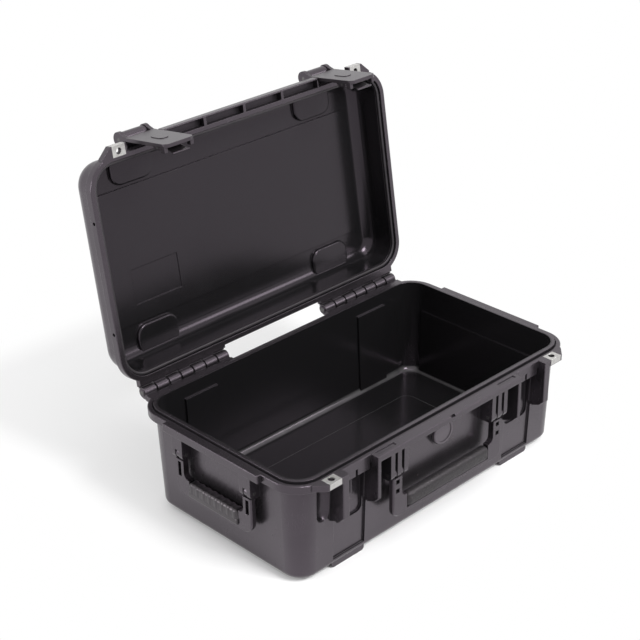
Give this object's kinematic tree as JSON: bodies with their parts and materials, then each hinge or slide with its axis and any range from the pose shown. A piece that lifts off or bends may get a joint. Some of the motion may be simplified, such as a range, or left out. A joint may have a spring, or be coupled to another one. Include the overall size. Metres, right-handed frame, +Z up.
{
  "type": "waterproof hard case",
  "caption": "Black moulded waterproof hard case with a hinged lid swung open, swing latches with release triggers, padlock eyes and folding carry handles.",
  "frame": {"origin": "on the ground, under the centre of the box around the open case", "axes": "+Z up, +X along the case's length to the right seen from the latch side, +Y towards the hinges"},
  "size_m": [0.562, 0.4442, 0.5064],
  "materials": {
    "shell_plastic": "fine moulded grain",
    "latch_plastic": "satin",
    "handle_plastic": "satin",
    "valve_plastic": "satin",
    "grip_rubber": "soft overmould",
    "seal_rubber": "soft",
    "steel_plate": "satin stamped",
    "steel_pin": "ground"
  },
  "bodies": {
    "base": {"base_shell": "shell_plastic", "base_padlock_plate_left": "steel_plate", "base_padlock_plate_right": "steel_plate", "hinge_pin_left": "steel_pin", "hinge_pin_right": "steel_pin", "front_handle_pin_left": "steel_pin", "front_handle_pin_right": "steel_pin", "side_handle_pin_left_back": "steel_pin", "side_handle_pin_left_front": "steel_pin", "side_handle_pin_right_back": "steel_pin", "side_handle_pin_right_front": "steel_pin", "valve_housing": "valve_plastic", "valve_seal": "seal_rubber", "valve_nut": "valve_plastic", "valve_disc": "valve_plastic"},
    "lid": {"lid_shell": "shell_plastic", "lid_gasket": "seal_rubber", "lid_padlock_plate_left": "steel_plate", "lid_padlock_plate_right": "steel_plate", "latch_pin_left": "steel_pin", "latch_pin_right": "steel_pin"},
    "latch_left": {"latch_left": "latch_plastic", "trigger_pin_left": "steel_pin"},
    "latch_right": {"latch_right": "latch_plastic", "trigger_pin_right": "steel_pin"},
    "trigger_left": {"latch_trigger_left": "latch_plastic"},
    "trigger_right": {"latch_trigger_right": "latch_plastic"},
    "front_handle": {"front_handle_frame": "handle_plastic", "front_handle_grip": "grip_rubber"},
    "side_handle_left": {"side_handle_frame_left": "handle_plastic", "side_handle_grip_left": "grip_rubber"},
    "side_handle_right": {"side_handle_frame_right": "handle_plastic", "side_handle_grip_right": "grip_rubber"}
  },
  "joints": [
    {"name": "lid_hinge", "type": "hinge", "parent": "base", "child": "lid", "pos_m": [0, 0.12045, 0.1578], "axis": [1, 0, 0], "range_deg": [0, 98.5]},
    {"name": "latch_pivot_left", "type": "hinge", "parent": "lid", "child": "latch_left", "pos_m": [-0.17, 0.20377, 0.48735], "axis": [1, 0, 0], "range_deg": [-100, 4]},
    {"name": "latch_pivot_right", "type": "hinge", "parent": "lid", "child": "latch_right", "pos_m": [0.17, 0.20377, 0.48735], "axis": [1, 0, 0], "range_deg": [-100, 4]},
    {"name": "trigger_pivot_left", "type": "hinge", "parent": "latch_left", "child": "trigger_left", "pos_m": [-0.17, 0.13191, 0.49359], "axis": [1, 0, 0], "range_deg": [0, 12], "stiffness_Nm_per_rad": 0.05, "springref_deg": -5.73},
    {"name": "trigger_pivot_right", "type": "hinge", "parent": "latch_right", "child": "trigger_right", "pos_m": [0.17, 0.13191, 0.49359], "axis": [1, 0, 0], "range_deg": [0, 12], "stiffness_Nm_per_rad": 0.05, "springref_deg": -5.73},
    {"name": "front_handle_pivot", "type": "hinge", "parent": "base", "child": "front_handle", "pos_m": [0, -0.21205, 0.1135], "axis": [-1, 0, 0], "range_deg": [0, 90]},
    {"name": "side_handle_pivot_left", "type": "hinge", "parent": "base", "child": "side_handle_left", "pos_m": [-0.272, -0.05155, 0.12], "axis": [0, 1, 0], "range_deg": [0, 90]},
    {"name": "side_handle_pivot_right", "type": "hinge", "parent": "base", "child": "side_handle_right", "pos_m": [0.272, -0.05155, 0.12], "axis": [0, -1, 0], "range_deg": [0, 90]}
  ]
}
